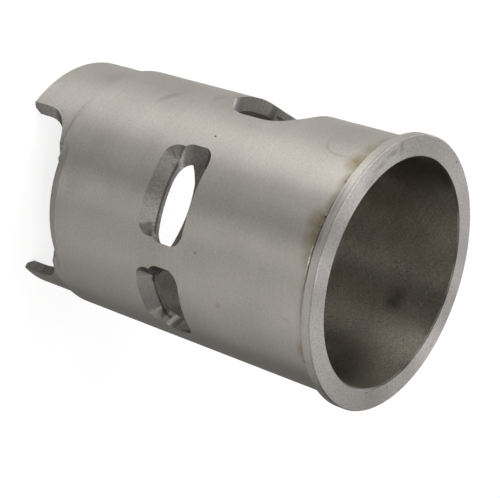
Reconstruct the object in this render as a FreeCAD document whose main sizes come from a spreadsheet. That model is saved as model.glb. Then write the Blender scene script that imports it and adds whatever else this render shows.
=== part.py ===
import FreeCAD, Part
import math
import os
import re

import Sketcher

# Cylinder liner of a two-stroke engine: one turned and milled iron sleeve.
# Lengths are millimetres. The bore runs along +Z, the sleeve stands on its skirt at z = 0 and
# the flange that hangs it in the cylinder block is on top.
# Bearings are degrees about the bore, counted from the exhaust side (-Y) towards +X. A cut angle
# is the bearing in which a milled wall runs outwards.
# The ports of the +X side are mirrored across the plane X = 0.

doc = FreeCAD.newDocument("CylinderLiner")
sheet = doc.addObject("Spreadsheet::Sheet", "Sizes")

# Driving dimensions
sizes = {
    # Turned section
    "bore_diameter": 70.0,
    "wall_thickness": 4.55,
    "shoulder_step": 1.25,
    "shoulder_height": 20.4,
    "flange_lip": 2.25,
    "flange_thickness": 2.9,
    "liner_height": 124.7,
    "relief_width": 2.3,
    "relief_depth": 0.25,
    "bore_chamfer": 0.5,
    "edge_chamfer": 0.3,
    "lead_in_height": 2.1,
    "lead_in_depth": 1.5,
    # Exhaust port
    "exhaust_width": 39.4,
    "exhaust_height": 28.3,
    "exhaust_sill": 61.75,
    "exhaust_corner": 11.0,
    # Main transfer port, next to the exhaust. Its walls are placed by their edges at the bore.
    "main_front_bearing": 61.9,
    "main_front_cut_angle": 14.3,
    "main_rear_bearing": 106.3,
    "main_rear_cut_angle": 65.4,
    "main_sill": 63.2,
    "main_window": 12.4,
    "main_land": 2.35,
    "main_bevel_front_bearing": 63.0,
    "main_bevel_rear_bearing": 93.4,
    "main_bevel_angle": 64.5,
    # Second transfer port, towards the back
    "second_front_bearing": 117.3,
    "second_front_cut_angle": 76.3,
    "second_rear_bearing": 152.3,
    "second_rear_cut_angle": 123.9,
    "second_sill": 62.55,
    "second_window": 12.2,
    "second_land": 1.8,
    "second_bevel_front_bearing": 120.0,
    "second_bevel_rear_bearing": 139.4,
    "second_bevel_angle": 58.0,
    # Skirt recess, from the exhaust tongue to the rear tongue. Its walls are placed by their
    # edges at the outside of the skirt. A short sloping run leads from the front wall to the roof.
    "recess_front_bearing": 55.8,
    "recess_front_cut_angle": 26.0,
    "recess_rear_bearing": 149.5,
    "recess_rear_cut_angle": 153.7,
    "recess_roof": 19.2,
    "recess_corner": 12.5,
    "recess_run_bearing": 83.5,
    "recess_run_angle": 20.0,
    "recess_land": 1.15,
    "recess_bevel_front_bearing": 76.8,
    "recess_bevel_rear_bearing": 127.5,
    "recess_bevel_angle": 58.5,
    # Milling cutter
    "window_corner": 4.2,
    "overrun": 5.0,
}
for row, (alias, number) in enumerate(sizes.items(), start=1):
    sheet.set(f"A{row}", alias.replace("_", " "))
    sheet.set(f"B{row}", str(number))
    sheet.setAlias(f"B{row}", alias)
doc.recompute()

# Radii of the turned section, all built up from the bore
bore_radius = "bore_diameter / 2"
body_radius = bore_radius + " + wall_thickness"
skirt_radius = body_radius + " - shoulder_step"
flange_radius = body_radius + " + flange_lip"


def bound(expression):
    """The expression with each alias written as a reference to its cell."""
    return re.sub(r"[a-z_]+", lambda word: ("Sizes." if word[0] in sizes else "") + word[0], expression)


def value(expression):
    """The number that an expression gives now."""
    return float(sheet.evalExpression(bound(expression)))


body = doc.addObject("PartDesign::Body", "CylinderLiner")
body.Label = "cylinder_liner"
origin = {feature.Role: feature for feature in body.Origin.OriginFeatures}


def new_sketch(name, plane="XZ_Plane", bearing=None, height=None):
    """A sketch on a plane of the body, turned about the bore and raised along it."""
    sketch = body.newObject("Sketcher::SketchObject", name)
    sketch.AttachmentSupport = [(origin[plane], "")]
    sketch.MapMode = "FlatFace"
    upright = plane == "XZ_Plane"
    turn_axis = FreeCAD.Vector(0, 1, 0) if upright else FreeCAD.Vector(0, 0, 1)
    angle = value(bearing) if bearing else 0
    sketch.AttachmentOffset = FreeCAD.Placement(FreeCAD.Vector(), FreeCAD.Rotation(turn_axis, angle))
    if bearing:
        sketch.setExpression("AttachmentOffset.Rotation.Angle", bound(bearing))
    if height:
        lift = "AttachmentOffset.Base.y" if upright else "AttachmentOffset.Base.z"
        sketch.setExpression(lift, bound(height))
    return sketch


def fix_point(sketch, line, end, across=None, up=None):
    """Binds the end of a line to its place in the sketch."""
    for kind, axis, expression in (("DistanceX", -2, across), ("DistanceY", -1, up)):
        if expression is None:
            continue
        if expression == "0":
            sketch.addConstraint(Sketcher.Constraint("PointOnObject", line, end, axis))
            continue
        number = value(expression)
        index = sketch.addConstraint(Sketcher.Constraint(kind, -1, 1, line, end, number))
        sketch.setExpression(f"Constraints[{index}]", bound(expression))


def draw_outline(sketch, corners):
    """A closed outline of straight lines. A corner is a pair of expressions."""
    points = [FreeCAD.Vector(value(across), value(up), 0) for across, up in corners]
    count = len(points)
    for index in range(count):
        sketch.addGeometry(Part.LineSegment(points[index], points[(index + 1) % count]), False)
    for index in range(count):
        sketch.addConstraint(Sketcher.Constraint("Coincident", index, 2, (index + 1) % count, 1))
    fix_point(sketch, 0, 1, *corners[0])
    for index in range(1, count):
        across, up = corners[index]
        if across == corners[index - 1][0]:
            sketch.addConstraint(Sketcher.Constraint("Vertical", index - 1))
            across = None
        if up == corners[index - 1][1]:
            sketch.addConstraint(Sketcher.Constraint("Horizontal", index - 1))
            up = None
        fix_point(sketch, index, 1, across, up)


def round_corners(sketch, corners, radius):
    """Rounds corners of an outline with one radius. Corner n lies where line n starts."""
    lines = [line for line in sketch.Geometry if isinstance(line, Part.LineSegment)]
    middles = [(line.StartPoint + line.EndPoint) * 0.5 for line in lines]
    arcs = []
    for corner in corners:
        before = (corner - 1) % len(lines)
        sketch.fillet(before, corner, middles[before], middles[corner], value(radius), True, True)
        # A fillet adds its arc and then the point that keeps the corner
        arcs.append(sketch.GeometryCount - 2)
    for arc in arcs[1:]:
        sketch.addConstraint(Sketcher.Constraint("Equal", arcs[0], arc))
    index = sketch.addConstraint(Sketcher.Constraint("Radius", arcs[0], value(radius)))
    sketch.setExpression(f"Constraints[{index}]", bound(radius))


def finish_cut(cut):
    """Builds a cut and makes sure that it removes metal."""
    doc.recompute()
    if cut.Shape.Volume >= cut.BaseFeature.Shape.Volume:
        raise ValueError(f"{cut.Label} removes nothing")
    return cut


# Turned section: skirt, shoulder, body, relief under the flange, flange, and the chamfered bore
flange_seat = "liner_height - flange_thickness"
section = new_sketch("Section")
draw_outline(section, [
    (bore_radius + " + lead_in_depth", "0"),
    (skirt_radius + " - edge_chamfer", "0"),
    (skirt_radius, "edge_chamfer"),
    (skirt_radius, "shoulder_height"),
    (body_radius + " - edge_chamfer", "shoulder_height"),
    (body_radius, "shoulder_height + edge_chamfer"),
    (body_radius, flange_seat + " - relief_width"),
    (body_radius + " - relief_depth", flange_seat + " - relief_width + relief_depth"),
    (body_radius + " - relief_depth", flange_seat),
    (flange_radius, flange_seat),
    (flange_radius, "liner_height - edge_chamfer"),
    (flange_radius + " - edge_chamfer", "liner_height"),
    (bore_radius + " + bore_chamfer", "liner_height"),
    (bore_radius, "liner_height - bore_chamfer"),
    (bore_radius, "lead_in_height"),
])
sleeve = body.newObject("PartDesign::Revolution", "TurnedSleeve")
sleeve.Profile = section
sleeve.ReferenceAxis = (section, ["V_Axis"])
sleeve.Angle = 360
doc.recompute()

# Exhaust port: a rounded window milled straight through the wall on the -Y side
exhaust_outline = new_sketch("ExhaustOutline")
draw_outline(exhaust_outline, [
    ("-1 * exhaust_width / 2", "exhaust_sill"),
    ("exhaust_width / 2", "exhaust_sill"),
    ("exhaust_width / 2", "exhaust_sill + exhaust_height"),
    ("-1 * exhaust_width / 2", "exhaust_sill + exhaust_height"),
])
round_corners(exhaust_outline, range(4), "exhaust_corner")
exhaust_port = body.newObject("PartDesign::Pocket", "ExhaustPort")
exhaust_port.Profile = exhaust_outline
exhaust_port.Reversed = True
exhaust_port.setExpression("Length", bound(body_radius + " + overrun"))
finish_cut(exhaust_port)


def mirror(title, cuts):
    """Repeats cuts on the -X side."""
    both = body.newObject("PartDesign::Mirrored", title)
    both.Originals = cuts
    both.MirrorPlane = (origin["YZ_Plane"], [""])
    body.Tip = both
    return finish_cut(both)


def wall_point(name, side, reach):
    """A point on a window's wall, at a reach outwards from its edge at the bore."""
    edge = f"{name}_{side}_bearing * 1deg"
    cut = f"{name}_{side}_cut_angle * 1deg"
    return (
        f"{bore_radius} * sin({edge}) + ({reach}) * sin({cut})",
        f"-1 * {bore_radius} * cos({edge}) - ({reach}) * cos({cut})",
    )


def transfer_window(name, title):
    """A window with level sill and lintel. Its walls lean, so that the charge blows away from the exhaust."""
    inside = "-1 * overrun"
    outside = "wall_thickness + 2 * overrun"
    plan = new_sketch(title + "Plan", "XY_Plane", height=f"{name}_sill")
    draw_outline(plan, [
        wall_point(name, "front", inside),
        wall_point(name, "front", outside),
        wall_point(name, "rear", outside),
        wall_point(name, "rear", inside),
    ])
    window = body.newObject("PartDesign::Pocket", title)
    window.Profile = plan
    window.Reversed = True
    window.setExpression("Length", bound(f"{name}_window"))
    return finish_cut(window)


windows = mirror("WindowsBothSides", [
    transfer_window("main", "MainWindow"),
    transfer_window("second", "SecondWindow"),
])

# Window corners: the level edges that run from the bore to the outside at each sill and lintel
levels = [value(level) for level in ("main_sill", "main_sill + main_window",
                                     "second_sill", "second_sill + second_window")]
rims = (value(bore_radius), value(body_radius))
corner_edges = []
for index, edge in enumerate(windows.Shape.Edges, start=1):
    ends = [vertex.Point for vertex in edge.Vertexes]
    radii = sorted(math.hypot(end.x, end.y) for end in ends)
    through = len(ends) == 2 and all(abs(a - b) < 0.01 for a, b in zip(radii, rims))
    if through and any(all(abs(end.z - level) < 0.01 for end in ends) for level in levels):
        corner_edges.append(f"Edge{index}")
rounding = body.newObject("PartDesign::Fillet", "WindowCorners")
rounding.Base = (windows, corner_edges)
rounding.setExpression("Radius", bound("window_corner"))
body.Tip = rounding
doc.recompute()


def recess_half(title, name):
    """One half of the skirt recess, milled along its end wall. Both reach the level roof behind the run."""
    cut_angle = f"recess_{name}_cut_angle"
    outline = new_sketch(title + "Outline", bearing=cut_angle)
    near = f"({skirt_radius}) * sin((recess_{name}_bearing - {cut_angle}) * 1deg)"
    run_end = f"{bore_radius} * sin((recess_run_bearing - {cut_angle}) * 1deg)"
    if name == "front":
        far = flange_radius + " + overrun"
        run_start = f"recess_roof - ({run_end} - {near}) * tan(recess_run_angle * 1deg)"
        roof = [(far, "recess_roof"), (run_end, "recess_roof"), (near, run_start)]
    else:
        far = run_end
        roof = [(far, "recess_roof"), (near, "recess_roof")]
    corners = [(near, "-1 * overrun"), (far, "-1 * overrun")] + roof
    draw_outline(outline, corners)
    round_corners(outline, [len(corners) - 1], "recess_corner")
    cut = body.newObject("PartDesign::Pocket", title)
    cut.Profile = outline
    cut.Reversed = True
    cut.setExpression("Length", bound(flange_radius + " + overrun"))
    mirror(title + "BothSides", [finish_cut(cut)])


# Skirt recess, from the exhaust tongue round to the rear tongue
recess_half("RecessFront", "front")
recess_half("RecessRear", "rear")


def bevel(name, title, level, direction):
    """The outer bevel of a sill or roof: a cone swept about the bore, with a round run-out at each end."""
    ridge = f"{bore_radius} + {name}_land"
    rim = f"{body_radius} + overrun"
    rise = f"{direction} * ({rim} - ({ridge})) * tan({name}_bevel_angle * 1deg)"
    front = f"{name}_bevel_front_bearing"
    rear = f"{name}_bevel_rear_bearing"
    cuts = []
    for part, bearing, axis in (
        ("Sweep", f"({front} + {rear}) / 2", "V_Axis"),
        ("FrontEnd", front, "H_Axis"),
        ("RearEnd", rear, "H_Axis"),
    ):
        profile = new_sketch(title + part + "Profile", bearing=f"{bearing} - 90", height=level)
        draw_outline(profile, [(ridge, "0"), (rim, "0"), (rim, rise)])
        cut = body.newObject("PartDesign::Groove", title + part)
        cut.Profile = profile
        cut.ReferenceAxis = (profile, [axis])
        if part == "Sweep":
            cut.Midplane = True
            cut.setExpression("Angle", bound(f"{rear} - {front}"))
        else:
            cut.Angle = 360
        cuts.append(finish_cut(cut))
    mirror(title + "BothSides", cuts)


# Bevels on the outer edge of each transfer sill and of the recess roof
bevel("main", "MainBevel", "main_sill", -1)
bevel("second", "SecondBevel", "second_sill", -1)
bevel("recess", "RecessBevel", "recess_roof", 1)

for feature in doc.Objects:
    if {"Invalid", "Error"} & set(feature.State):
        raise ValueError(f"{feature.Label} did not build")
if body.Shape.isNull() or not body.Shape.isValid() or len(body.Shape.Solids) != 1:
    raise ValueError("the liner is not one sound solid")

os.makedirs("parts", exist_ok=True)
body.Shape.exportStep(f"parts/{body.Label}.step")
print(f"{body.Label}: {body.Shape.Volume / 1000:.2f} cm3, {len(body.Shape.Faces)} faces")
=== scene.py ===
import math

import bpy
from mathutils import Matrix, Vector


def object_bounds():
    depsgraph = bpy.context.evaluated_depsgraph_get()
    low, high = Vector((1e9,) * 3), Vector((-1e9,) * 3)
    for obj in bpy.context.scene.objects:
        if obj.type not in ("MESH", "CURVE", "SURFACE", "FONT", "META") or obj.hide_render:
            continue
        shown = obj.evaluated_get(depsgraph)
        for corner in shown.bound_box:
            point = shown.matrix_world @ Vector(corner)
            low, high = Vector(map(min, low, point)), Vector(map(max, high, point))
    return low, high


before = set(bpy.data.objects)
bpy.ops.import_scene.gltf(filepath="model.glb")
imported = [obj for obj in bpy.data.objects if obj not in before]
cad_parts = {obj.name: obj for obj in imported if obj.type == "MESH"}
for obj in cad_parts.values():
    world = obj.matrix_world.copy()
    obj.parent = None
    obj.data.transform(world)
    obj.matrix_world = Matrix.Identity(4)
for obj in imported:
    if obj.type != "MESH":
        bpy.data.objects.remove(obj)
cad_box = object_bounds()
scene = bpy.context.scene

# Camera. It looks down into the mouth of the bore from the +X side, and is rolled over, so that
# the standing liner lies across the picture with its flange at the lower right.
camera_target = Vector((-0.0042, 0.0070, 0.0696))
camera_distance = 0.4806
camera_bearing = math.radians(81.6)
camera_elevation = math.radians(34.43)
camera_roll = math.radians(108.45)
camera_lens_mm = 110.14
camera_sensor_mm = 36
camera_near = 0.01

to_camera = Vector((
    math.cos(camera_elevation) * math.sin(camera_bearing),
    -math.cos(camera_elevation) * math.cos(camera_bearing),
    math.sin(camera_elevation),
))
level = Vector((0, 0, 1)).cross(to_camera).normalized()
upright = to_camera.cross(level)
facing = Matrix((level, upright, to_camera)).transposed() @ Matrix.Rotation(camera_roll, 3, "Z")
stand = Matrix.Translation(camera_target + to_camera * camera_distance)
camera = bpy.data.objects.new("camera", bpy.data.cameras.new("camera"))
camera.data.lens = camera_lens_mm
camera.data.sensor_width = camera_sensor_mm
camera.data.clip_start = camera_near
camera.matrix_world = stand @ facing.to_4x4()
scene.collection.objects.link(camera)
scene.camera = camera
scene.view_settings.view_transform = "Standard"

# Floor. A pale plane under the liner, which keeps a soft shadow. It is white to the camera and
# through openings. To mirrored rays it is dim, because the iron in the photo mirrors a dim room.
floor_size = 8.0
floor_white = 0.80  # with the lamps' light on it, just white to the camera
floor_in_metal = 0.10


def linear(hex_colour):
    """An sRGB hex colour as linear values for a shader socket."""
    shares = [int(hex_colour[i:i + 2], 16) / 255 for i in (1, 3, 5)]
    return [s / 12.92 if s <= 0.04045 else ((s + 0.055) / 1.055) ** 2.4 for s in shares] + [1]


def add_node(tree, kind, inputs=None, **settings):
    """Adds a node with its settings. An input is a value, or the socket that feeds it."""
    node = tree.nodes.new(kind)
    for name, setting in settings.items():
        setattr(node, name, setting)
    for name, given in (inputs or {}).items():
        if isinstance(given, bpy.types.NodeSocket):
            tree.links.new(given, node.inputs[name])
        else:
            node.inputs[name].default_value = given
    return node


half = floor_size / 2
floor_corners = [(-half, -half, 0), (half, -half, 0), (half, half, 0), (-half, half, 0)]
floor_mesh = bpy.data.meshes.new("floor")
floor_mesh.from_pydata(floor_corners, [], [(0, 1, 2, 3)])
floor = bpy.data.objects.new("floor", floor_mesh)
scene.collection.objects.link(floor)

pale_floor = bpy.data.materials.new("pale_floor")
pale_floor.use_nodes = True
tree = pale_floor.node_tree
tree.nodes.clear()
seen_by = {}
for ray, glow_strength, paint in (
    ("direct", floor_white, "#7C7C7C"),
    ("mirrored", floor_in_metal, "#464646"),
):
    glow = add_node(tree, "ShaderNodeEmission", {
        "Color": linear("#FFFFFF"), "Strength": glow_strength})
    lit = add_node(tree, "ShaderNodeBsdfDiffuse", {"Color": linear(paint)})
    seen_by[ray] = add_node(tree, "ShaderNodeAddShader", {0: glow.outputs[0], 1: lit.outputs[0]})
matt = add_node(tree, "ShaderNodeBsdfDiffuse", {"Color": linear("#E6E6E6")})
path = add_node(tree, "ShaderNodeLightPath")
direct = add_node(tree, "ShaderNodeMath", {
    0: path.outputs["Is Camera Ray"], 1: path.outputs["Is Transmission Ray"]}, operation="MAXIMUM")
mixed = add_node(tree, "ShaderNodeMixShader", {
    0: direct.outputs[0], 1: matt.outputs[0], 2: seen_by["direct"].outputs[0]})
mixed = add_node(tree, "ShaderNodeMixShader", {
    0: path.outputs["Is Glossy Ray"], 1: mixed.outputs[0], 2: seen_by["mirrored"].outputs[0]})
add_node(tree, "ShaderNodeOutputMaterial", {"Surface": mixed.outputs[0]})
floor_mesh.materials.append(pale_floor)

# World. White to the camera and through openings, as the floor is. To the liner, and so to
# mirrored rays too, it is an even dim room.
world_white = 1.0
world_dim = 0.13
world = bpy.data.worlds.new("studio")
scene.world = world
world.use_nodes = True
tree = world.node_tree
tree.nodes.clear()
soft = add_node(tree, "ShaderNodeBackground", {"Color": linear("#FFFFFF"), "Strength": world_dim})
white = add_node(tree, "ShaderNodeBackground", {
    "Color": linear("#FFFFFF"), "Strength": world_white})
path = add_node(tree, "ShaderNodeLightPath")
direct = add_node(tree, "ShaderNodeMath", {
    0: path.outputs["Is Camera Ray"], 1: path.outputs["Is Transmission Ray"]}, operation="MAXIMUM")
mixed = add_node(tree, "ShaderNodeMixShader", {
    0: direct.outputs[0], 1: soft.outputs[0], 2: white.outputs[0]})
add_node(tree, "ShaderNodeOutputWorld", {"Surface": mixed.outputs[0]})

# Lamps. Rows of small soft white lamps on a circle of 1 m round the liner, at two elevations. Each
# row has its middle bearing and its elevation in degrees, its count, and the watts of each lamp.
lamp_distance = 1.0
lamp_size = 0.26
lamp_step = 15.0
lamp_aim = Vector((0, 0, 0.06))
for row, middle_bearing, elevation, count, watts in (
    ("high_front", 30.0, 45, 5, 1.0),
    ("high_key", 22.5, 45, 2, 1.25),
    ("high_right", 97.5, 45, 2, 2.0),
    ("high_back", 150.0, 45, 3, 0.7),
    ("high_far", 240.0, 45, 3, 0.3),
    ("high_left", 315.0, 45, 1, 1.0),
    ("low_front", 0.0, 15, 5, 0.9),
    ("low_key", 7.5, 15, 2, 1.0),
    ("low_back", 150.0, 15, 5, 0.5),
    ("low_left", 292.5, 15, 4, 0.75),
):
    for spot in range(count):
        lamp = bpy.data.lights.new(f"{row}_{spot}", "AREA")
        lamp.size = lamp_size
        lamp.energy = watts
        bearing = math.radians(middle_bearing + lamp_step * (spot - (count - 1) / 2))
        raised = math.radians(elevation)
        way = Vector((
            math.cos(raised) * math.sin(bearing),
            -math.cos(raised) * math.cos(bearing),
            math.sin(raised),
        ))
        lamp_object = bpy.data.objects.new(lamp.name, lamp)
        stand = Matrix.Translation(lamp_aim + way * lamp_distance)
        lamp_object.matrix_world = stand @ way.to_track_quat("Z", "Y").to_matrix().to_4x4()
        scene.collection.objects.link(lamp_object)

# Liner. A sleeve of close-grained grey iron in one piece. It is turned outside, honed in the bore
# and ground on top of the flange, and the ports and the skirt's recesses are milled through it.
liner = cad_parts["cylinder_liner"]
bore_radius_mm = 35.0
body_radius_mm = 39.55
flange_radius_mm = cad_box[1][0] * 1000
flange_face_mm = cad_box[1][2] * 1000
bore_chamfer_mm = 0.5
recess_to_mm = 19.9  # just below the shoulder
ports_from_mm = 55.0
ports_to_mm = 95.0

# Bare grey iron, as its tools left it. Turning leaves fine rings, which draw each highlight out
# along the sleeve. Honing leaves a crossed haze in the bore, which hot charge has browned above the
# ports. The ground face is an even, duller grey, and the milled cuts are the darkest, which at the
# ports is partly painted shade.
iron = bpy.data.materials.new("turned_honed_and_milled_iron")
iron.use_nodes = True
tree = iron.node_tree
tree.nodes.clear()

# Where a point lies, in millimetres from the frame's origin, and how far it faces out of the axis.
place = add_node(tree, "ShaderNodeTexCoord")
normal = place.outputs["Normal"]
in_mm = add_node(tree, "ShaderNodeMapping", {
    "Vector": place.outputs["Object"], "Scale": (1000, 1000, 1000)}).outputs[0]
height = add_node(tree, "ShaderNodeSeparateXYZ", {0: in_mm}).outputs["Z"]
off_axis = add_node(
    tree, "ShaderNodeVectorMath", {0: in_mm, 1: (1, 1, 0)}, operation="MULTIPLY").outputs[0]
outwards = add_node(
    tree, "ShaderNodeVectorMath", {0: off_axis}, operation="NORMALIZE").outputs[0]
radius = add_node(
    tree, "ShaderNodeVectorMath", {0: off_axis}, operation="LENGTH").outputs["Value"]
faces_out = add_node(tree, "ShaderNodeVectorMath", {
    0: normal, 1: outwards}, operation="DOT_PRODUCT").outputs["Value"]

# Where each tool worked. The flange's top is ground. The bore's chamfer there looks as the bore
# does, and is kept as a mask for the painted shade on its edge. The cutter worked below the
# shoulder and at the ports, on what faces neither out nor into the bore. Facings are cosines, 1 for
# straight outwards.
bore_wall_from, bore_wall_full = -0.60, -0.68
outside_from, outside_full = 0.90, 0.96
flange_top = add_node(tree, "ShaderNodeMapRange", {
    "Value": height,
    "From Min": flange_face_mm - bore_chamfer_mm - 0.1,
    "From Max": flange_face_mm - bore_chamfer_mm + 0.05,
}).outputs[0]
clear_of_bore = add_node(tree, "ShaderNodeMath", {
    0: radius, 1: bore_radius_mm + bore_chamfer_mm - 0.05}, operation="GREATER_THAN").outputs[0]
# Painted shade on the bore's chamfer at the flange.
bore_chamfer_shade = add_node(tree, "ShaderNodeMath", {
    0: flange_top, 1: clear_of_bore}, operation="SUBTRACT", use_clamp=True).outputs[0]
ground = add_node(
    tree, "ShaderNodeMath", {0: flange_top, 1: clear_of_bore}, operation="MULTIPLY").outputs[0]
faces_in = add_node(tree, "ShaderNodeMapRange", {
    "Value": faces_out, "From Min": bore_wall_from, "From Max": bore_wall_full}).outputs[0]
honed = add_node(tree, "ShaderNodeMath", {
    0: faces_in, 1: ground}, operation="SUBTRACT", use_clamp=True).outputs[0]
outside = add_node(tree, "ShaderNodeMapRange", {
    "Value": faces_out, "From Min": outside_from, "From Max": outside_full}).outputs[0]
uncut = add_node(tree, "ShaderNodeMath", {0: outside, 1: honed}, operation="MAXIMUM").outputs[0]
in_recess = add_node(tree, "ShaderNodeMath", {
    0: height, 1: recess_to_mm}, operation="LESS_THAN").outputs[0]
at_ports = add_node(tree, "ShaderNodeMath", {
    0: height,
    1: (ports_to_mm + ports_from_mm) / 2,
    2: (ports_to_mm - ports_from_mm) / 2,
}, operation="COMPARE").outputs[0]
cut_zone = add_node(
    tree, "ShaderNodeMath", {0: in_recess, 1: at_ports}, operation="MAXIMUM").outputs[0]
milled = add_node(tree, "ShaderNodeMath", {
    0: cut_zone, 1: uncut}, operation="SUBTRACT", use_clamp=True).outputs[0]
everywhere = add_node(tree, "ShaderNodeValue").outputs[0]
everywhere.default_value = 1.0
turned = everywhere
for other_finish in (honed, ground, milled):
    turned = add_node(tree, "ShaderNodeMath", {
        0: turned, 1: other_finish}, operation="SUBTRACT", use_clamp=True).outputs[0]

# Rings of the turning tool. The real feed is 0.1 mm, too fine for the picture, so the rings are
# drawn 0.5 mm apart and broken up along the way round.
ring_step_mm = 0.5
ring_run_mm = 45.0
ring_place = add_node(tree, "ShaderNodeMapping", {
    "Vector": in_mm, "Scale": (1 / ring_run_mm, 1 / ring_run_mm, 1 / ring_step_mm)})
rings = add_node(tree, "ShaderNodeTexNoise", {
    "Vector": ring_place.outputs[0], "Scale": 1.0, "Detail": 3.0, "Roughness": 0.6}).outputs[0]

# Honing lines, crossing at 60 degrees where the bore is turned about its axis by an amount that
# grows with height, once each way. A stone's scratches are 0.02 mm, so these are drawn at 0.5 mm.
hone_step_mm = 0.5
hone_run_mm = 6.0
hone_lean = math.tan(math.radians(60))
hatches = []
for hand in (1, -1):
    twist = add_node(tree, "ShaderNodeMath", {
        0: height, 1: hand * hone_lean / bore_radius_mm}, operation="MULTIPLY")
    twisted = add_node(tree, "ShaderNodeVectorRotate", {
        "Vector": in_mm, "Angle": twist.outputs[0]}, rotation_type="Z_AXIS")
    hatch_place = add_node(tree, "ShaderNodeMapping", {
        "Vector": twisted.outputs[0],
        "Scale": (1 / hone_step_mm, 1 / hone_step_mm, 1 / hone_run_mm)})
    hatches.append(add_node(tree, "ShaderNodeTexNoise", {
        "Vector": hatch_place.outputs[0], "Scale": 1.0, "Detail": 1.0, "Roughness": 0.5}))
hatch = add_node(tree, "ShaderNodeMath", {
    0: hatches[0].outputs[0], 1: hatches[1].outputs[0]}, operation="ADD")
hatch = add_node(
    tree, "ShaderNodeMath", {0: hatch.outputs[0], 1: 0.5}, operation="MULTIPLY").outputs[0]

# Cutter marks on the milled walls, which run straight through the wall. A cutter's real feed is
# about 0.1 mm. The marks are drawn 0.5 mm apart around the sleeve and twice that in height.
cutter_step_mm = 0.5
cutter_stretch = 2.0
wall_middle_mm = 38
around_mm = add_node(tree, "ShaderNodeVectorMath", {
    0: outwards, 1: (wall_middle_mm,) * 3}, operation="MULTIPLY").outputs[0]
up_mm = add_node(tree, "ShaderNodeVectorMath", {
    0: in_mm, 1: (0, 0, 1 / cutter_stretch)}, operation="MULTIPLY").outputs[0]
wall_place = add_node(
    tree, "ShaderNodeVectorMath", {0: around_mm, 1: up_mm}, operation="ADD").outputs[0]
cutter = add_node(tree, "ShaderNodeTexNoise", {
    "Vector": wall_place, "Scale": 1 / cutter_step_mm, "Detail": 2.0, "Roughness": 0.7}).outputs[0]

# Grain of the iron, and slow clouds of handling and oil. Real grain is about 0.1 mm, so it is drawn
# coarser, to show.
grain_mm = 0.55
cloud_mm = 14.0
grain = add_node(tree, "ShaderNodeTexNoise", {
    "Vector": in_mm, "Scale": 1 / grain_mm, "Detail": 2.0, "Roughness": 0.6}).outputs[0]
clouds = add_node(tree, "ShaderNodeTexNoise", {
    "Vector": in_mm, "Scale": 1 / cloud_mm, "Detail": 3.0, "Roughness": 0.55}).outputs[0]

# Colour of each finish. The bore is browner from the transfer ports' tops upwards, and the walls of
# the recesses are paler than those of the ports: the ports' darker grey is partly a duller milled
# face and partly painted shade inside the ports.
turned_grey = linear("#CDC8C0")
honed_brown = linear("#D0CCC2")
sooty_brown = linear("#938E82")
ground_grey = linear("#B2AEAA")
# Grey of the cuts at the ports, darkened partly as painted shade inside them.
milled_grey_and_port_shade = linear("#928E8A")
recess_grey = linear("#BDB9B3")
soot_from_mm = 72.0
soot_full_mm = 84.0
sooty = add_node(tree, "ShaderNodeMapRange", {
    "Value": height, "From Min": soot_from_mm, "From Max": soot_full_mm}).outputs[0]
bore_tone = add_node(tree, "ShaderNodeMix", {
    0: sooty, 6: honed_brown, 7: sooty_brown}, data_type="RGBA").outputs[2]
cut_tone = add_node(tree, "ShaderNodeMix", {
    0: in_recess, 6: milled_grey_and_port_shade, 7: recess_grey}, data_type="RGBA").outputs[2]
tone = turned_grey
for where, finish_tone in ((honed, bore_tone), (ground, ground_grey), (milled, cut_tone)):
    tone = add_node(
        tree, "ShaderNodeMix", {0: where, 6: tone, 7: finish_tone}, data_type="RGBA").outputs[2]

# Each tool's marks lighten and darken its own surface. The grain and the clouds lie over all of it.
shade = everywhere
for pattern, where, strength in (
    (rings, turned, 0.12),
    (hatch, honed, 0.9),
    (cutter, milled, 0.9),
    (grain, everywhere, 0.42),
    (grain, ground, 0.6),
    (grain, honed, 0.8),
    (grain, milled, 0.45),
    (clouds, everywhere, 0.10),
):
    swing = add_node(tree, "ShaderNodeMath", {
        0: pattern, 1: strength, 2: -strength / 2}, operation="MULTIPLY_ADD")
    swing = add_node(tree, "ShaderNodeMath", {0: swing.outputs[0], 1: where}, operation="MULTIPLY")
    shade = add_node(
        tree, "ShaderNodeMath", {0: shade, 1: swing.outputs[0]}, operation="ADD").outputs[0]
tone = add_node(
    tree, "ShaderNodeVectorMath", {0: tone, "Scale": shade}, operation="SCALE").outputs[0]

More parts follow.
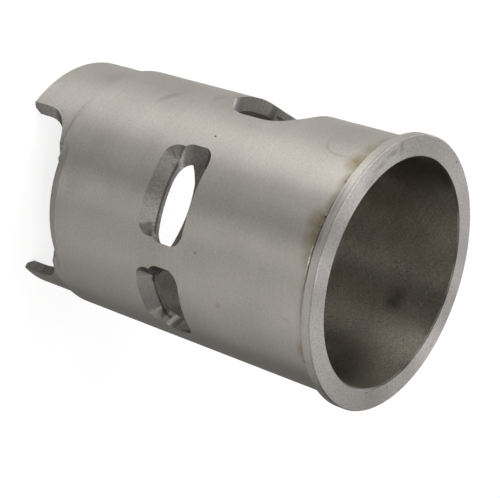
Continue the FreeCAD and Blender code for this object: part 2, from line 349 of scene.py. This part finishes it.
# Marks that the photo shows, each an ellipsoid set on the surface: the bearing from the exhaust
# port, radius and height of its middle, its reach around, through and up the wall in millimetres,
# how far it leans in degrees, and its strength. It fades between two shares of its reach.
kinds = {
    "oil_brown": [
        (18.9, body_radius_mm, 118.0, 4.0, 1.0, 1.8, 0, 0.35),
        (30.2, body_radius_mm, 118.4, 4.5, 1.0, 2.2, 0, 0.50),
        (40.5, body_radius_mm, 118.8, 5.0, 1.0, 3.4, 0, 0.80),
        (51.4, body_radius_mm, 119.6, 4.0, 1.0, 1.8, 0, 0.55),
        (62.5, body_radius_mm, 119.6, 4.0, 1.0, 1.8, 0, 0.45),
        (72.0, body_radius_mm, 118.6, 4.5, 1.0, 3.6, 0, 0.80),
        (79.5, body_radius_mm, 118.8, 4.0, 1.0, 3.2, 0, 0.75),
        (86.5, body_radius_mm, 118.9, 3.5, 1.0, 2.2, 0, 0.50),
        (96.0, body_radius_mm, 119.9, 5.0, 1.0, 1.4, 0, 0.35),
        (107.0, body_radius_mm, 120.0, 5.0, 1.0, 1.0, 0, 0.25),
        (128.5, body_radius_mm, 119.2, 4.0, 1.0, 1.7, 0, 0.60),
        (120.4, body_radius_mm, 89.8, 0.9, 1.0, 1.5, -35, 0.45),
        (115.1, body_radius_mm, 114.6, 0.7, 1.0, 1.2, 20, 0.35),
    ],
    "black_pit": [
        (51.9, body_radius_mm, 119.9, 0.50, 0.6, 0.40, 0, 1.0),
        (73.5, body_radius_mm, 120.3, 0.45, 0.6, 0.40, 0, 1.0),
        (69.1, body_radius_mm, 119.7, 0.35, 0.6, 0.30, 0, 0.9),
        (48.1, body_radius_mm, 71.5, 0.38, 0.6, 0.38, 0, 1.0),
        (134.3, body_radius_mm, 119.4, 0.8, 0.6, 0.7, 0, 0.5),
        (99.7, body_radius_mm, 81.2, 0.5, 0.6, 0.4, 0, 0.5),
        (331.7, 40.3, flange_face_mm, 0.45, 0.4, 0.5, 0, 0.9),
        (181.0, 36.2, flange_face_mm, 0.40, 0.35, 0.5, 0, 0.8),
        (351.8, 41.1, flange_face_mm, 0.30, 0.3, 0.5, 0, 0.7),
        (199.1, 36.8, flange_face_mm, 0.30, 0.3, 0.5, 0, 0.7),
        (235.9, 39.7, flange_face_mm, 0.50, 0.3, 0.5, 0, 0.6),
    ],
    "grey_smudge": [
        (46.3, 37.0, flange_face_mm, 4.0, 1.3, 1.0, 0, 0.30),
        (37.7, 38.3, flange_face_mm, 3.5, 0.8, 1.0, 0, 0.35),
        (28.4, 39.2, flange_face_mm, 4.0, 1.0, 1.0, 0, 0.40),
        (21.5, 39.4, flange_face_mm, 1.2, 2.2, 1.0, 0, 0.45),
        (249.9, bore_radius_mm, 108.4, 4.6, 1.0, 3.6, 0, 0.70),
        (31.3, body_radius_mm, 44.2, 5.0, 1.0, 1.6, 25, 0.22),
        (20.3, body_radius_mm, 57.9, 4.0, 1.0, 1.6, 0, 0.16),
        (62.0, flange_radius_mm, 122.6, 9.0, 0.8, 0.5, 0, 0.35),
        (78.0, flange_radius_mm, 122.4, 5.0, 0.8, 0.35, 0, 0.45),
    ],
    "bright_nick": [
        (87.5, body_radius_mm, 119.8, 1.7, 0.6, 0.38, 0, 1.0),
        (81.8, 35.1, flange_face_mm, 0.5, 0.3, 0.6, 0, 0.7),
        (97.2, body_radius_mm, 82.4, 2.0, 0.6, 0.12, 12, 0.4),
    ],
}
gone_at = 1.25
full_at = 0.35
amounts = {}
for kind, marks in kinds.items():
    amount = 0.0
    for bearing, off, up, reach_around, reach_through, reach_up, lean, strength in marks:
        bearing = math.radians(bearing)
        within = add_node(tree, "ShaderNodeMapping", {
            "Vector": in_mm,
            "Location": (off * math.sin(bearing), -off * math.cos(bearing), up),
            "Rotation": (0, math.radians(lean), bearing),
            "Scale": (reach_around, reach_through, reach_up),
        }, vector_type="TEXTURE")
        share = add_node(
            tree, "ShaderNodeVectorMath", {0: within.outputs[0]}, operation="LENGTH")
        fade = add_node(tree, "ShaderNodeMapRange", {
            "Value": share.outputs["Value"],
            "From Min": gone_at, "From Max": full_at, "To Max": strength})
        amount = add_node(
            tree, "ShaderNodeMath", {0: amount, 1: fade.outputs[0]}, operation="MAXIMUM").outputs[0]
    amounts[kind] = amount

# The oil dried in patches. One drop of it ran down and left the edge of a ring on one side.
patch_mm = 2.2
patch_from, patch_full, patch_least = 0.36, 0.62, 0.6
patches = add_node(tree, "ShaderNodeTexNoise", {
    "Vector": in_mm, "Scale": 1 / patch_mm, "Detail": 3.0, "Roughness": 0.65}).outputs[0]
patchy = add_node(tree, "ShaderNodeMapRange", {
    "Value": patches,
    "From Min": patch_from, "From Max": patch_full, "To Min": patch_least}).outputs[0]
drop_bearing = math.radians(31.5)
drop_height_mm = 111.7
drop_width_mm = 5.6
drop_length_mm = 6.8
drop_edge_width = 0.10
drop_side_from, drop_side_full = -0.3, 0.6
drop_strength = 0.30
drop = add_node(tree, "ShaderNodeMapping", {
    "Vector": in_mm,
    "Location": (
        body_radius_mm * math.sin(drop_bearing),
        -body_radius_mm * math.cos(drop_bearing),
        drop_height_mm,
    ),
    "Rotation": (0, 0, drop_bearing),
    "Scale": (drop_width_mm, drop_width_mm, drop_length_mm),
}, vector_type="TEXTURE").outputs[0]
from_middle = add_node(
    tree, "ShaderNodeVectorMath", {0: drop}, operation="LENGTH").outputs["Value"]
from_ring = add_node(tree, "ShaderNodeMath", {0: from_middle, 1: 1.0}, operation="SUBTRACT")
from_ring = add_node(tree, "ShaderNodeMath", {0: from_ring.outputs[0]}, operation="ABSOLUTE")
ring = add_node(tree, "ShaderNodeMapRange", {
    "Value": from_ring.outputs[0],
    "From Min": drop_edge_width, "From Max": 0.0, "To Max": drop_strength})
across_drop = add_node(tree, "ShaderNodeSeparateXYZ", {0: drop}).outputs["X"]
ring_side = add_node(tree, "ShaderNodeMapRange", {
    "Value": across_drop, "From Min": drop_side_from, "From Max": drop_side_full})
drop_edge = add_node(tree, "ShaderNodeMath", {
    0: ring.outputs[0], 1: ring_side.outputs[0]}, operation="MULTIPLY")
brown = add_node(
    tree, "ShaderNodeMath", {0: amounts["oil_brown"], 1: patchy}, operation="MULTIPLY").outputs[0]
brown = add_node(
    tree, "ShaderNodeMath", {0: brown, 1: drop_edge.outputs[0]}, operation="MAXIMUM").outputs[0]

# Dark edges, most of them painted shade: painted shade on the outer part of each transfer port's
# sill, painted shade on the bevels of the cuts, set by the way they face, a darker rim of the
# ground face, and painted shade on the bore's chamfer.
bevel_shade_from, bevel_shade_full = 0.25, 0.40
sill_shade_radius_mm = 36.85
sill_shade_half_width_mm = 0.5
sill_shade_height_mm = 62.9
sill_shade_half_height_mm = 0.6
rim_width_mm = 0.25
# Painted shade on the outer part of each transfer port's sill.
sill_shade = add_node(tree, "ShaderNodeMath", {
    0: radius, 1: sill_shade_radius_mm, 2: sill_shade_half_width_mm}, operation="COMPARE")
sill_shade_rise = add_node(tree, "ShaderNodeMath", {
    0: height, 1: sill_shade_height_mm, 2: sill_shade_half_height_mm}, operation="COMPARE")
sill_shade = add_node(tree, "ShaderNodeMath", {
    0: sill_shade.outputs[0], 1: sill_shade_rise.outputs[0]}, operation="MULTIPLY")
sill_shade = add_node(tree, "ShaderNodeMath", {0: sill_shade.outputs[0], 1: milled}, operation="MULTIPLY")
# Painted shade on the bevels of the cuts, chosen by the way each face points.
bevel_shade = add_node(tree, "ShaderNodeMapRange", {
    "Value": faces_out, "From Min": bevel_shade_from, "From Max": bevel_shade_full})
bevel_shade = add_node(tree, "ShaderNodeMath", {0: bevel_shade.outputs[0], 1: milled}, operation="MULTIPLY")
rim = add_node(tree, "ShaderNodeMath", {
    0: radius, 1: flange_radius_mm - rim_width_mm}, operation="GREATER_THAN")
rim = add_node(tree, "ShaderNodeMath", {0: rim.outputs[0], 1: ground}, operation="MULTIPLY")
smudges_and_shade = add_node(tree, "ShaderNodeMath", {
    0: amounts["grey_smudge"], 1: patchy}, operation="MULTIPLY").outputs[0]
for edge, strength in (
    (sill_shade.outputs[0], 0.75),
    (bevel_shade.outputs[0], 0.28),
    (rim.outputs[0], 0.30),
    (bore_chamfer_shade, 0.95),
):
    edge = add_node(tree, "ShaderNodeMath", {0: edge, 1: strength}, operation="MULTIPLY")
    smudges_and_shade = add_node(
        tree, "ShaderNodeMath", {0: smudges_and_shade, 1: edge.outputs[0]}, operation="MAXIMUM").outputs[0]

# The dark grey carries the smudges and also the painted shade of the edges.
for amount, stain in (
    (brown, "#9A875E"),
    (smudges_and_shade, "#4E4C49"),
    (amounts["bright_nick"], "#E4E2DC"),
    (amounts["black_pit"], "#191613"),
):
    tone = add_node(
        tree, "ShaderNodeMix", {0: amount, 6: tone, 7: linear(stain)}, data_type="RGBA").outputs[2]

# Roughness of each finish, a little uneven with the grain and the clouds about the same mean.
rough = 0.42
for where, finish_rough in ((honed, 0.30), (ground, 0.50), (milled, 0.45)):
    rough = add_node(
        tree, "ShaderNodeMix", {0: where, 2: rough, 3: finish_rough}, data_type="FLOAT").outputs[0]
for pattern, swing in ((grain, 0.10), (clouds, 0.08)):
    rough = add_node(tree, "ShaderNodeMath", {
        0: pattern, 1: swing, 2: rough}, operation="MULTIPLY_ADD").outputs[0]
    rough = add_node(
        tree, "ShaderNodeMath", {0: rough, 1: swing / 2}, operation="SUBTRACT").outputs[0]

# Relief of the marks, up to 0.02 mm deep.
relief_m = 0.00002
relief = everywhere
for pattern, where, share in (
    (rings, turned, 0.35),
    (hatch, honed, 0.6),
    (cutter, milled, 0.9),
    (grain, everywhere, 0.35),
):
    rise = add_node(tree, "ShaderNodeMath", {0: pattern, 1: share}, operation="MULTIPLY")
    rise = add_node(tree, "ShaderNodeMath", {0: rise.outputs[0], 1: where}, operation="MULTIPLY")
    relief = add_node(
        tree, "ShaderNodeMath", {0: relief, 1: rise.outputs[0]}, operation="ADD").outputs[0]
bump = add_node(tree, "ShaderNodeBump", {
    "Strength": 1.0, "Distance": relief_m, "Height": relief}).outputs[0]

# The tools' marks run round the axis, so the highlights stretch across them: along the sleeve on
# its walls, and outwards on its faces. A small steady part serves walls that face along the marks.
steady = (0.02, 0.01, 0.05)
around = add_node(tree, "ShaderNodeVectorMath", {
    0: (0, 0, 1), 1: outwards}, operation="CROSS_PRODUCT").outputs[0]
across = add_node(
    tree, "ShaderNodeVectorMath", {0: around, 1: normal}, operation="CROSS_PRODUCT").outputs[0]
across = add_node(tree, "ShaderNodeVectorMath", {
    0: across, 1: steady}, operation="ADD").outputs[0]
metal = add_node(tree, "ShaderNodeBsdfPrincipled", {
    "Base Color": tone,
    "Metallic": 1.0,
    "Roughness": rough,
    "Anisotropic": 0.9,
    "Tangent": across,
    "Normal": bump,
})
add_node(tree, "ShaderNodeOutputMaterial", {"Surface": metal.outputs[0]})
liner.material_slots[0].material = iron
